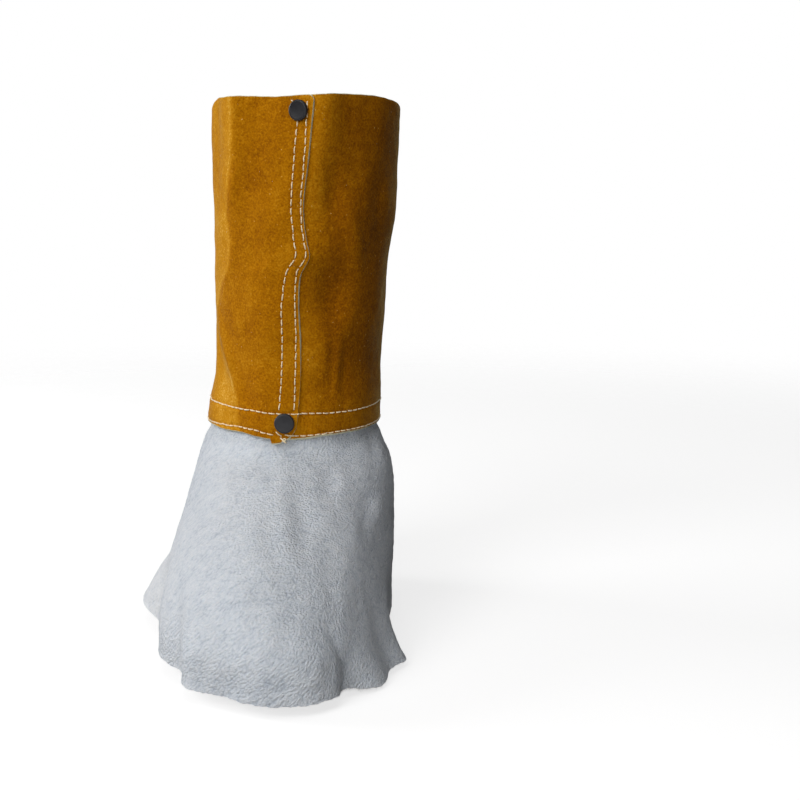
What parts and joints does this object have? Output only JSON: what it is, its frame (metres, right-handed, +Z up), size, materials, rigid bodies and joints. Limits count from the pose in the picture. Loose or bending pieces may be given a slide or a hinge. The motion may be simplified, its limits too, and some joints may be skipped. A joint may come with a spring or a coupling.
{
  "type": "welding spat",
  "caption": "Welding spat for a boot: a golden suede leg cuff, lapped and cap-riveted at the front, over a flared grey suede flap that covers the foot.",
  "frame": {"origin": "on the leg's axis at the ankle seam, the cuff's hem line, where the spat sits on a boot's ankle", "axes": "+Z up the leg, -Y towards the toe, +X towards the inner side of a right foot"},
  "size_m": [0.1719, 0.273, 0.33],
  "materials": {
    "gold_suede": "napped split leather, golden brown",
    "grey_suede": "rough fibrous split leather, pale grey",
    "black_cap": "satin black enamel",
    "cream_thread": "twisted sewing thread"
  },
  "bodies": {
    "root": {"leg_cuff": "gold_suede", "foot_flap": "grey_suede", "cap_rivet_upper": "black_cap", "cap_rivet_lower": "black_cap"}
  },
  "joints": []
}
